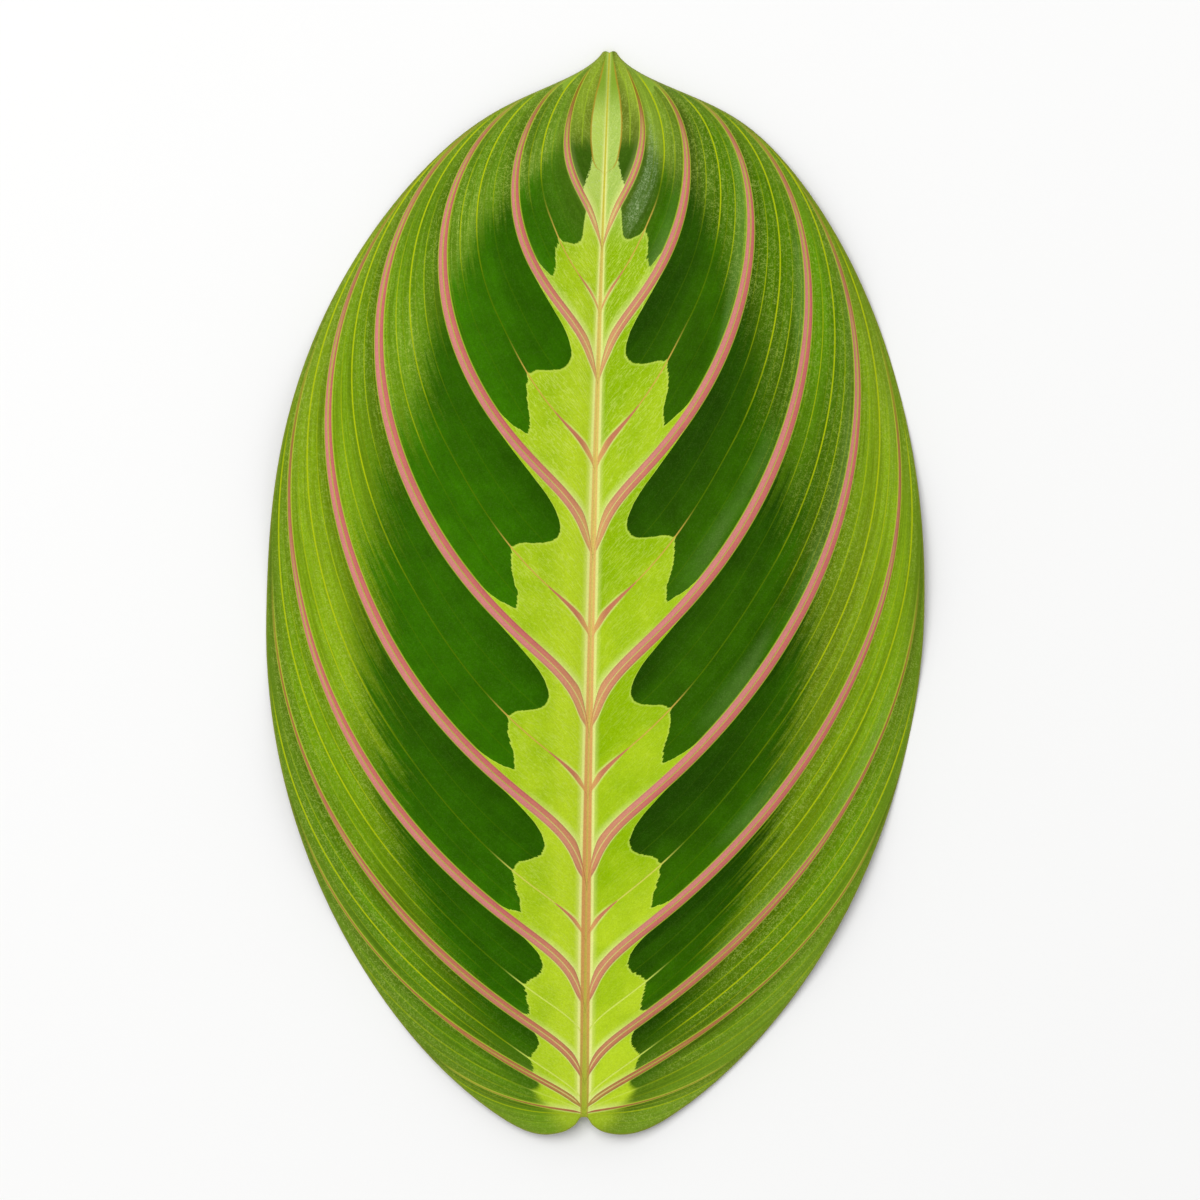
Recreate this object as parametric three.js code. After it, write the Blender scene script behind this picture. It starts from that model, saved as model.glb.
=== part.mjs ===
// One maranta (prayer plant) leaf, lying on its margin with its upper face up.
// Millimetres. +Y runs from the base notch to the tip, +Z out of the upper face.
// The origin is on the surface the leaf lies on, under the middle of its outline.

import * as THREE from 'three';
import { mergeVertices } from 'three/addons/utils/BufferGeometryUtils.js';

// Outline
const LEAF_LENGTH = 125;
const LEFT_HALF_WIDTH = 37.6;
const RIGHT_HALF_WIDTH = 38.4;
const WIDEST_Y = -3;
const BASE_REACH = 61.4;
const BASE_FULLNESS = 0.634;
const BASE_SQUARENESS = 1.905;
const TIP_REACH = 66.6;
const LEFT_TIP_FULLNESS = 0.78;
const LEFT_TIP_SQUARENESS = 2.57;
const RIGHT_TIP_FULLNESS = 0.653;
const RIGHT_TIP_SQUARENESS = 2.14;

// Notch in the base
const NOTCH_DEPTH = 1.95;
const NOTCH_HALF_WIDTH = 1.5;
const NOTCH_SQUARENESS = 1.25;
const NOTCH_FADE = 8;

// Cusp drawn out at the tip
const CUSP_END_HALF_WIDTH = 0.8;
const CUSP_FLARE = 0.53;
const CUSP_CURVE = 0.274;
const CUSP_BLEND = 4;

// Midrib line seen from above
const MIDRIB_OFFSET = -0.38;
const MIDRIB_LEAN = 0.0235;
const MIDRIB_BEND = 0.00014;

// Form of the blade
const MIDRIB_HEIGHT = 4.2;
const MIDRIB_FLATNESS = 3;
const BASE_END_HEIGHT = 2.4;
const TIP_END_HEIGHT = 0.9;
const ARCH_HEIGHT = 3.8;
const DROOP_POWER = 2.4;
const EDGE_HEIGHT = 0.3;
const LOBE_LIFT = 1.3;
const LOBE_LIFT_REACH = 7;
const WAVE_HEIGHT = 1.8;
const WAVE_LENGTH = 41;
const WAVE_CALM = 4;

// Section of the blade
const BLADE_THICKNESS = 0.45;
const EDGE_THICKNESS = 0.28;
const EDGE_THINNING = 4;
const RIB_DEPTH = 1.5;
const RIB_HALF_WIDTH = 1.1;
const RIB_TIP_SHARE = 0.2;
const GROOVE_DEPTH = 0.35;
const GROOVE_HALF_WIDTH = 1.3;

// Mesh divisions
const COLUMNS = 38;
const ROWS = 48;
const COLUMN_CROWDING = 1.5;

const HALF_LENGTH = LEAF_LENGTH / 2;

// Half the width of the oval body at y, as a share of its widest.
function ovalShare(y, side) {
  if (y < WIDEST_Y) {
    const towardsBase = (WIDEST_Y - y) / BASE_REACH;
    return (1 - towardsBase ** BASE_SQUARENESS) ** BASE_FULLNESS;
  }
  const towardsTip = (y - WIDEST_Y) / TIP_REACH;
  return side < 0
    ? (1 - towardsTip ** LEFT_TIP_SQUARENESS) ** LEFT_TIP_FULLNESS
    : (1 - towardsTip ** RIGHT_TIP_SQUARENESS) ** RIGHT_TIP_FULLNESS;
}

// Half width of the blade on one side. The narrower of the oval and the cusp
// that is drawn out at the tip, with a smooth change between them.
function halfWidth(y, side) {
  const widest = side < 0 ? LEFT_HALF_WIDTH : RIGHT_HALF_WIDTH;
  const oval = widest * ovalShare(y, side);
  const fromTip = HALF_LENGTH - y;
  const cusp = CUSP_END_HALF_WIDTH + CUSP_FLARE * fromTip + CUSP_CURVE * fromTip ** 2;
  return (oval ** -CUSP_BLEND + cusp ** -CUSP_BLEND) ** (-1 / CUSP_BLEND);
}

function midribX(y) {
  return MIDRIB_OFFSET + MIDRIB_LEAN * y + MIDRIB_BEND * y * y;
}

// Height of the midrib line above the surface.
function midribZ(y) {
  const s = y / HALF_LENGTH;
  const end = s < 0 ? BASE_END_HEIGHT : TIP_END_HEIGHT;
  return end + (MIDRIB_HEIGHT - end) * (1 - Math.abs(s) ** MIDRIB_FLATNESS);
}

// Height of the margin: slow waves, and lobes that lift beside the notch.
function marginZ(y, side) {
  const wave = (1 + Math.sin((2 * Math.PI * y) / WAVE_LENGTH + side)) / 2;
  const calm = 1 - Math.abs(y / HALF_LENGTH) ** WAVE_CALM;
  const lift = LOBE_LIFT * Math.exp(-(y + HALF_LENGTH) / LOBE_LIFT_REACH);
  return EDGE_HEIGHT + WAVE_HEIGHT * wave * calm + lift;
}

// Upper face: each half arches up from the midrib and droops to the margin.
function upperZ(offset, share, y, side) {
  const fade = 1 - share ** DROOP_POWER;
  const body = midribZ(y) * fade + marginZ(y, side) * (1 - fade);
  const ends = 1 - (y / HALF_LENGTH) ** 2;
  const arch = ARCH_HEIGHT * ends * 4 * share * (1 - share);
  const groove = GROOVE_DEPTH * ends * Math.exp(-((offset / GROOVE_HALF_WIDTH) ** 2));
  return body + arch - groove;
}

// Blade thickness, with the rounded rib under the midrib.
function thickness(offset, share, y) {
  const thinning = share ** EDGE_THINNING;
  const blade = THREE.MathUtils.lerp(BLADE_THICKNESS, EDGE_THICKNESS, thinning);
  const taper = THREE.MathUtils.lerp(1, RIB_TIP_SHARE, (y + HALF_LENGTH) / LEAF_LENGTH);
  const rib = RIB_DEPTH * taper * Math.exp(-((offset / RIB_HALF_WIDTH) ** 2));
  return blade + rib * (1 - share ** 2);
}

// A flat slab of squares bent to the leaf: u across and v along, both -1 to 1.
function bendToLeaf(u, v, isUpper) {
  const side = u < 0 ? -1 : 1;
  const share = Math.abs(u) ** COLUMN_CROWDING;
  const row = HALF_LENGTH * Math.sin((v * Math.PI) / 2);
  const offset = share * halfWidth(row, side);
  const notch = NOTCH_DEPTH * Math.exp(-((offset / NOTCH_HALF_WIDTH) ** NOTCH_SQUARENESS));
  const y = row + notch * Math.exp(-(row + HALF_LENGTH) / NOTCH_FADE);
  const top = upperZ(offset, share, row, side);
  const z = isUpper ? top : top - thickness(offset, share, row);
  return [midribX(y) + side * offset, y, z];
}

function leafGeometry() {
  const slab = new THREE.BoxGeometry(2, 2, 2, COLUMNS, ROWS, 1);
  slab.deleteAttribute('normal');
  slab.deleteAttribute('uv');
  const leaf = mergeVertices(slab);
  const position = leaf.getAttribute('position');
  for (let i = 0; i < position.count; i += 1) {
    const isUpper = position.getZ(i) > 0;
    position.setXYZ(i, ...bendToLeaf(position.getX(i), position.getY(i), isUpper));
  }
  return leaf;
}

// The outline is centred over the origin and its lowest point touches the surface.
function restOnSurface(geometry) {
  geometry.computeBoundingBox();
  const centre = geometry.boundingBox.getCenter(new THREE.Vector3());
  geometry.translate(-centre.x, -centre.y, -geometry.boundingBox.min.z);
  geometry.computeVertexNormals();
  return geometry;
}

const leafGreen = new THREE.MeshStandardMaterial({
  color: 0x5f8f2a,
  roughness: 0.62,
  metalness: 0,
});

const leaf = new THREE.Mesh(restOnSurface(leafGeometry()), leafGreen);
leaf.name = 'leaf';

const maranta = new THREE.Group();
maranta.add(leaf);

export default maranta;
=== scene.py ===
import functools
import math
import types

import bmesh
import bpy
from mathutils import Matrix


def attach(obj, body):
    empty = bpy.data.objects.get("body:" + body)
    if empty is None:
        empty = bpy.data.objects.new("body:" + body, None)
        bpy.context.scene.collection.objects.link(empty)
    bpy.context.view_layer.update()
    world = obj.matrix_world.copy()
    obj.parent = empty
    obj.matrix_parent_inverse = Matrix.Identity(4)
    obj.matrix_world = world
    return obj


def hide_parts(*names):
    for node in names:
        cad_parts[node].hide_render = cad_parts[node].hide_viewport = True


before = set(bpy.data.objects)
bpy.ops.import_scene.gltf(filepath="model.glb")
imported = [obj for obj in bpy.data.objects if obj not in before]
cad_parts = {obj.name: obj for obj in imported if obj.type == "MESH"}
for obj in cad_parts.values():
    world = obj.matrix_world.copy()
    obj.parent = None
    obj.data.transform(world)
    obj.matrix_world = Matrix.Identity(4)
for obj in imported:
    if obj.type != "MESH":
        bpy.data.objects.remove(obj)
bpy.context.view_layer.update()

# One maranta leaf lying on its margin, upper face up. Sizes are in millimetres
# and become metres when the mesh is made. +Y runs from the base notch to the tip.
mm = 0.001

outline = {
    "halfLength": 62.5,
    "leftHalfWidth": 37.6,
    "rightHalfWidth": 38.4,
    "widestAt": -3.0,
    "baseReach": 61.4,
    "baseSquareness": 1.905,
    "baseFullness": 0.634,
    "tipReach": 66.6,
    "leftTipSquareness": 2.57,
    "leftTipFullness": 0.78,
    "rightTipSquareness": 2.14,
    "rightTipFullness": 0.653,
    "cuspEnd": 0.8,  # half width where the tip ends
    "cuspFlare": 0.53,
    "cuspCurve": 0.274,
    "cuspBlend": 4,
    "midribOffset": -0.38,
    "midribLean": 0.0235,
    "midribBend": 0.00014,
}

# Side veins 1 to 9 are counted from the tip. Phase 0 is the tip end of the
# blade and phase 10 the foot of its base lobes, and lines between two veins
# have the phases between their numbers.
veins = {
    "roots": [62.35, 44.1, 29.4, 9.3, -10.9, -28.6, -43.3, -53.3, -58.6, -59.7, -60.55],
    "ends": [62.25, 62.0, 59.9, 57.9, 56.4, 52.0, 37.0, 10.0, -20.0, -49.5, -61.0],
    "launch": 51.1,  # degrees out from the midrib
    "launchStep": 1.3,
    "rootReach": (0.399, 0.1, -0.0163),
    "endReach": (0.308, -0.016, 0.0049),
    "endTuck": 0.975,
    "merge": 4.2,  # how far a root runs down along the midrib
    "mergeWidth": 1.8,
    "mergeFade": (9.0, 1.0),  # reach and power from the base end
    "tipMergeFade": (12.0, 1.5),  # and from the tip end
    "sideMergeLess": 0.6,  # side veins half way between two main ones bend less
    "sideMergeEnd": (6.5, 8.0),
    "join": 1.4,  # and the last stretch, nearly along the midrib
    "joinWidth": 0.5,
    "joinFade": (6.0, 1.6),
    "halfSkew": 0.067,  # the left half's veins bow out more than the right half's
    "halfSkewStep": -0.0013,
    "lobePhases": (9.0, 10.0),
    "lobeTurn": 65.0,  # extra launch at the foot of the base lobes
    "lobeReach": 0.2,
    "tipShoulder": (0.75, 62.68),  # the very end of the tip has one on each side
    "tipShoulderReach": 0.6,
    "notchRound": (0.36, 0.4, 0.36),  # rise, middle and reach of the notch's round top
    "notchFlare": (-0.09, 1.9, 0.9),  # and of the lobes beside it
    "marginHold": 60.0,
    "marginEnd": 12,
}
lastPhase = 10.0

form = {
    "midribHeight": 4.2,
    "baseEndHeight": 2.4,
    "tipEndHeight": 0.9,
    "archHeight": 3.8,
    "droopPower": 2.4,
    "edgeHeight": 0.3,
    "lobeLift": 1.3,
    "lobeLiftReach": 7.0,
    "waveHeight": 1.8,
    "waveLength": 41.0,
    "bladeThickness": 0.45,
    "edgeThickness": 0.28,
    "edgeRound": 0.09,
    "edgeRoundReach": 0.25,
    "ribDepth": 1.5,
    "ribHalfWidth": 1.1,
    "ribTipShare": 0.2,
    "grooveDepth": 0.35,
    "grooveHalfWidth": 1.3,
    "quilt": 0.34,  # how far the blade swells between two veins
    "quiltStart": (0.5, 7.0),  # from the midrib
    "quiltEnd": (0.8, 1.0),  # by share of the half width
    "quiltGap": 6.0,  # veins nearer together than this swell less
    "veinRise": 0.07,
    "veinRiseWidth": 0.55,
    "veinRiseStart": (0.3, 2.0),
    "sideGroove": 0.07,
    "sideGrooveWidth": 0.6,
    "underVein": 0.24,
    "underVeinWidth": 0.5,
    "underVeinStart": (0.0, 3.0),
    "columns": 220,
    "columnCrowding": (1.5, 1.2),
    "rowsPerVein": 20,
    "rowCrowding": 0.6,
}


def ease(low, high, value):
    share = min(1.0, max(0.0, (value - low) / (high - low)))
    return share * share * (3 - 2 * share)


# How steeply a line changes at this height.
def slopeAt(line, y):
    nudge = 0.1
    return (line(y + nudge) - line(y - nudge)) / (2 * nudge)


# Grows from 0 towards 1 over about this reach.
def settle(distance, reach, power):
    return 1 - math.exp(-((max(0.0, distance) / reach) ** power))


# A smooth line through evenly spaced values that never overshoots them.
def through(values, at):
    last = len(values) - 1
    i = min(int(at), last - 1)
    f = at - i

    def slope(k):
        before = values[max(k, 1)] - values[max(k, 1) - 1]
        after = values[min(k, last - 1) + 1] - values[min(k, last - 1)]
        return 0.0 if before * after <= 0 else 2 * before * after / (before + after)

    f2, f3 = f * f, f * f * f
    return (
        values[i] * (2 * f3 - 3 * f2 + 1)
        + slope(i) * (f3 - 2 * f2 + f)
        + values[i + 1] * (3 * f2 - 2 * f3)
        + slope(i + 1) * (f3 - f2)
    )


def midribX(y):
    return outline["midribOffset"] + outline["midribLean"] * y + outline["midribBend"] * y * y


# Half width of the blade: its oval, drawn out to a small cusp at the tip.
def halfWidth(y, side):
    half = "left" if side < 0 else "right"
    part = half + "Tip" if y > outline["widestAt"] else "base"
    reach = outline["tipReach"] if y > outline["widestAt"] else outline["baseReach"]
    along = min(0.999, abs(y - outline["widestAt"]) / reach)
    full = (1 - along ** outline[part + "Squareness"]) ** outline[part + "Fullness"]
    oval = outline[half + "HalfWidth"] * full
    fromTip = outline["halfLength"] - y
    cusp = outline["cuspEnd"] + outline["cuspFlare"] * fromTip + outline["cuspCurve"] * fromTip**2
    power = outline["cuspBlend"]
    return (oval**-power + cusp**-power) ** (-1 / power)


def meanHalfWidth(y):
    return (halfWidth(y, -1) + halfWidth(y, 1)) / 2


# The four points of the curve that a line of this phase follows, as distance
# from the midrib and height up the leaf, and how far its root is drawn down
# along the midrib.
@functools.lru_cache(maxsize=None)
def veinLine(phase):
    root = (0.0, through(veins["roots"], phase))
    endY = through(veins["ends"], phase)
    end = (meanHalfWidth(endY), endY)
    chord = math.dist(root, end)
    lobe = ease(*veins["lobePhases"], phase)
    launch = math.radians(veins["launch"] + veins["launchStep"] * phase + veins["lobeTurn"] * lobe)
    a, b, c = veins["rootReach"]
    rootReach = max(0.02, a + b * phase + c * phase**2) + veins["lobeReach"] * lobe
    a, b, c = veins["endReach"]
    endReach = a + b * phase + c * phase**2
    first = (
        root[0] + rootReach * chord * math.sin(launch),
        root[1] + rootReach * chord * math.cos(launch),
    )
    slope = slopeAt(meanHalfWidth, endY)
    length = math.hypot(slope, 1.0)
    second = (
        (end[0] - endReach * chord * slope / length) * veins["endTuck"],
        end[1] - endReach * chord / length,
    )
    nearTip = 1 - ease(0.0, veins["tipShoulderReach"], phase)
    second = tuple(a + (b - a) * nearTip for a, b in zip(second, veins["tipShoulder"]))
    fromBase = root[1] - veins["roots"][-1]
    tipFade = settle(veins["roots"][0] - root[1], *veins["tipMergeFade"])
    less = veins["sideMergeLess"] * math.sin(math.pi * phase) ** 2
    bend = tipFade * (1 - less * (1 - ease(*veins["sideMergeEnd"], phase)))
    merge = veins["merge"] * bend * settle(fromBase, *veins["mergeFade"])
    join = veins["join"] * bend * settle(fromBase, *veins["joinFade"])
    return root, first, second, end, merge, join


# Place on the leaf seen from above: side is -1 or 1, share runs 0 to 1 along
# the line from the midrib to the margin.
def place(side, phase, share):
    *points, merge, join = veinLine(phase)
    rest = 1 - share
    weights = (rest**3, 3 * rest * rest * share, 3 * rest * share * share, share**3)
    fromRib, y = (sum(w * part for w, part in zip(weights, parts)) for parts in zip(*points))
    y -= merge * math.exp(-fromRib / veins["mergeWidth"]) * rest * rest
    y -= join * math.exp(-fromRib / veins["joinWidth"]) * rest * rest
    lobe = ease(*veins["lobePhases"], phase)
    for rise, middle, reach in (veins["notchRound"], veins["notchFlare"]):
        y += rise * math.exp(-(((fromRib - middle) / reach) ** 2)) * lobe
    across = fromRib / meanHalfWidth(y)
    skew = veins["halfSkew"] + veins["halfSkewStep"] * phase
    across *= 1 - side * skew * max(0.0, 1 - across * across)
    if across > 0.5:  # held inside the margin, and on it at the line's end
        hold = veins["marginHold"]
        atEnd = (2 ** (1 / hold) - 1) * share ** veins["marginEnd"]
        across = (across**-hold + 1) ** (-1 / hold) * (1 + atEnd)
    return midribX(y) + side * across * halfWidth(y, side), y


def midribHeight(y):
    s = y / outline["halfLength"]
    end = form["baseEndHeight"] if s < 0 else form["tipEndHeight"]
    return end + (form["midribHeight"] - end) * (1 - abs(s) ** 3)


# The two margins wave out of step.
def marginHeight(y, side):
    half = outline["halfLength"]
    wave = 0.5 + 0.5 * math.sin(2 * math.pi * y / form["waveLength"] + side)
    calm = 1 - abs(y / half) ** 4
    lift = form["lobeLift"] * math.exp(-(y + half) / form["lobeLiftReach"])
    return form["edgeHeight"] + form["waveHeight"] * wave * calm + lift


# Height of the upper face where nothing is quilted yet.
def upperHeight(offset, share, y, side):
    fade = 1 - share ** form["droopPower"]
    body = midribHeight(y) * fade + marginHeight(y, side) * (1 - fade)
    ends = max(0.0, 1 - (y / outline["halfLength"]) ** 2)
    arch = form["archHeight"] * ends * 4 * share * (1 - share)
    groove = form["grooveDepth"] * ends * math.exp(-((offset / form["grooveHalfWidth"]) ** 2))
    return body + arch - groove


# The swell between two veins, the low ridge of each vein and the crease
# half way between two veins.
def relief(phase, gap, offset, share):
    p = phase - math.floor(phase)
    number = round(phase)
    away = abs(phase - number) * gap
    firm = ease(*form["quiltStart"], offset) * (1 - ease(*form["quiltEnd"], share))
    firm *= min(1.0, gap / form["quiltGap"])
    swell = form["quilt"] * math.sin(math.pi * p) ** 2
    crease = form["sideGroove"] * math.exp(-(((p - 0.5) * gap / form["sideGrooveWidth"]) ** 2))
    ridge = 0.0
    if 1 <= number <= 9:
        ridge = form["veinRise"] * math.exp(-((away / form["veinRiseWidth"]) ** 4))
    ridge *= ease(*form["veinRiseStart"], offset) * (1 - share**4)
    return (swell - crease) * firm + ridge


def thickness(offset, share, y, phase, gap):
    half = outline["halfLength"]
    blade = form["bladeThickness"] + (form["edgeThickness"] - form["bladeThickness"]) * share**4
    taper = 1 + (form["ribTipShare"] - 1) * (y + half) / (2 * half)
    rib = form["ribDepth"] * taper * math.exp(-((offset / form["ribHalfWidth"]) ** 2))
    number = round(phase)
    vein = 0.0
    if 1 <= number <= 9:
        away = abs(phase - number) * gap
        vein = form["underVein"] * math.exp(-((away / form["underVeinWidth"]) ** 2))
        vein *= (1 - share) * ease(*form["underVeinStart"], offset)
    return blade + (rib + vein) * (1 - share**2)


# Rows are crowded at the veins, and columns at the midrib and the margin.
def phaseOf(v):
    along = (1 - v) / 2 * lastPhase  # v is -1 at the base and 1 at the tip
    return along - form["rowCrowding"] * math.sin(2 * math.pi * along) / (2 * math.pi)


def shareOf(u):
    atRib, atMargin = form["columnCrowding"]
    return 1 - (1 - abs(u) ** atRib) ** atMargin


measures = ("veinPhase", "veinGap", "ribDistance", "alongVein", "veinShare",
            "edgeDistance", "leafHalf", "thickness")


# Bends a flat grid into the upper face, and notes these measures at each point
# for the materials.
def shapeUpperFace(bm, layer):
    nudge = 0.02
    for vert in bm.verts:
        u, v = vert.co.x, vert.co.y
        side = -1 if u < 0 else 1
        phase, t = min(lastPhase, max(0.0, phaseOf(v))), shareOf(u)
        x, y = place(side, phase, t)
        low, high = max(0.0, phase - nudge), min(lastPhase, phase + nudge)
        ax, ay = place(side, low, t)
        bx, by = place(side, high, t)
        cx, cy = place(side, phase, max(0.0, t - nudge / 2))
        dx, dy = place(side, phase, min(1.0, t + nudge / 2))
        run = math.hypot(dx - cx, dy - cy) or 1.0
        gap = abs((bx - ax) * (dy - cy) - (by - ay) * (dx - cx)) / run / (high - low)
        width = halfWidth(y, side)
        offset = abs(x - midribX(y))
        share = min(1.0, offset / width)
        slope = slopeAt(functools.partial(halfWidth, side=side), y)
        toEdge = (width - offset) / math.hypot(1.0, slope)
        z = upperHeight(offset, share, y, side) + relief(phase, gap, offset, share)
        vert[layer["veinPhase"]] = phase
        vert[layer["veinGap"]] = gap
        vert[layer["ribDistance"]] = offset
        vert[layer["alongVein"]] = t * math.dist(veinLine(phase)[0], veinLine(phase)[3])
        vert[layer["veinShare"]] = t
        vert[layer["edgeDistance"]] = max(0.0, min(toEdge, (lastPhase - phase) * gap))
        vert[layer["leafHalf"]] = side if abs(u) > 1e-6 else 0.0
        vert[layer["thickness"]] = thickness(offset, share, y, phase, gap)
        vert.co = (x, y, z)


# The underside is the upper face pushed down by the blade's thickness.
def addUnderside(bm, layer):
    upper = bm.faces[:]
    pushed = bmesh.ops.extrude_face_region(bm, geom=upper, use_keep_orig=True)["geom"]
    lower = [g for g in pushed if isinstance(g, bmesh.types.BMFace)]
    for vert in [g for g in pushed if isinstance(g, bmesh.types.BMVert)]:
        vert.co.z -= vert[layer["thickness"]]
    for face in lower:
        face.material_index = 1
    return lower


def roundMargin(bm, layer):
    for vert in bm.verts:
        near = 1 - min(1.0, vert[layer["edgeDistance"]] / form["edgeRoundReach"])
        isUpper = not any(face.material_index for face in vert.link_faces)
        vert.co.z += form["edgeRound"] * near * (-1 if isUpper else 1)


# Centred over the origin, with its lowest point on the surface, in metres.
def layDown(bm):
    xs, ys, zs = zip(*(vert.co for vert in bm.verts))
    middle = ((min(xs) + max(xs)) / 2, (min(ys) + max(ys)) / 2)
    bmesh.ops.translate(bm, verts=bm.verts[:], vec=(-middle[0], -middle[1], -min(zs)))
    bmesh.ops.scale(bm, verts=bm.verts[:], vec=(mm, mm, mm))
    bmesh.ops.recalc_face_normals(bm, faces=bm.faces[:])
    return (max(xs) - min(xs)) * mm, (max(ys) - min(ys)) * mm


bakeMap = {
    "across": 0.96,  # of its half of the map
    "up": 0.97,
    "wall": 1.012,  # the wall at the margin is a narrow strip outside the upper face
}


# One flat map for both faces, the upper one on the left.
def mapForBake(bm, lower, width, length):
    bake = bm.loops.layers.uv.new("OFBake")
    lowerVerts = {vert for face in lower for vert in face.verts}
    for face in bm.faces:
        face.smooth = True
        for loop in face.loops:
            isWall = not face.material_index and loop.vert in lowerVerts
            spread = bakeMap["wall"] if isWall else 1.0
            across = 0.5 + loop.vert.co.x / width * bakeMap["across"] * spread
            up = 0.5 + loop.vert.co.y / length * bakeMap["up"] * spread
            loop[bake].uv = (1 - across / 2 if face.material_index else across / 2, up)


def makeLeafMesh():
    rows = int(lastPhase) * form["rowsPerVein"]
    bm = bmesh.new()
    bmesh.ops.create_grid(bm, x_segments=form["columns"], y_segments=rows, size=1.0)
    layer = {name: bm.verts.layers.float.new(name) for name in measures}
    shapeUpperFace(bm, layer)
    lower = addUnderside(bm, layer)
    roundMargin(bm, layer)
    width, length = layDown(bm)
    mapForBake(bm, lower, width, length)
    mesh = bpy.data.meshes.new("leaf_surface")
    bm.to_mesh(mesh)
    bm.free()
    return mesh


def makeLeaf():
    mesh = makeLeafMesh()
    leaf = bpy.data.objects.new("leaf_surface", mesh)
    bpy.context.scene.collection.objects.link(leaf)
    mesh.materials.append(upperMaterial())
    mesh.materials.append(underMaterial())
    print("leaf:", len(mesh.vertices), "points,", len(mesh.polygons), "faces")
    return leaf


# Colours are picked as on a screen, 0 to 255, and used as light values.
def tone(red, green, blue):
    def light(c):
        c /= 255
        return c / 12.92 if c <= 0.04045 else ((c + 0.055) / 1.055) ** 2.4

    return (light(red), light(green), light(blue), 1.0)


class Wire:  # a node's output that can be used in sums
    def __init__(self, sheet, socket):
        self.sheet, self.socket = sheet, socket

    def __add__(self, other):
        return self.sheet.maths("ADD", self, other)

    def __sub__(self, other):
        return self.sheet.maths("SUBTRACT", self, other)

    def __rsub__(self, other):
        return self.sheet.maths("SUBTRACT", other, self)

    def __mul__(self, other):
        return self.sheet.maths("MULTIPLY", self, other)

    def __truediv__(self, other):
        return self.sheet.maths("DIVIDE", self, other)

    __radd__, __rmul__ = __add__, __mul__


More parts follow.
